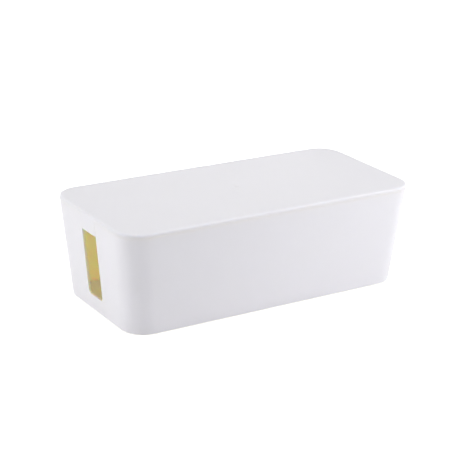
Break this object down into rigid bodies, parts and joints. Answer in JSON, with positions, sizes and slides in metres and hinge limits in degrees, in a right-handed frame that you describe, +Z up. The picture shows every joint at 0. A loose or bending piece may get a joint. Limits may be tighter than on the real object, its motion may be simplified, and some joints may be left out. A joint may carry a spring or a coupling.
{
  "type": "cable management box",
  "caption": "Long low box with tapered sides and rounded corners, a flat lift-off lid and an upright cable slot in each end.",
  "frame": {"origin": "bottom centre of the box, on the surface it stands on", "axes": "+X along the length towards the right end, +Y across towards the back, +Z up through the lid"},
  "size_m": [0.3196, 0.1498, 0.101],
  "materials": {
    "tub_plastic": "satin moulded white, slightly translucent",
    "lid_plastic": "satin moulded white, slightly translucent",
    "rubber": "soft grey rubber",
    "adhesive": "thin adhesive film"
  },
  "bodies": {
    "box": {"tub": "tub_plastic", "foot_front_left": "rubber", "foot_front_right": "rubber", "foot_back_left": "rubber", "foot_back_right": "rubber", "foot_adhesive_front_left": "adhesive", "foot_adhesive_front_right": "adhesive", "foot_adhesive_back_left": "adhesive", "foot_adhesive_back_right": "adhesive"},
    "cover": {"lid": "lid_plastic"}
  },
  "joints": [
    {"name": "lid_lift", "type": "slide", "parent": "box", "child": "cover", "axis": [0, 0, 1], "range_m": [0, 0.16]}
  ]
}
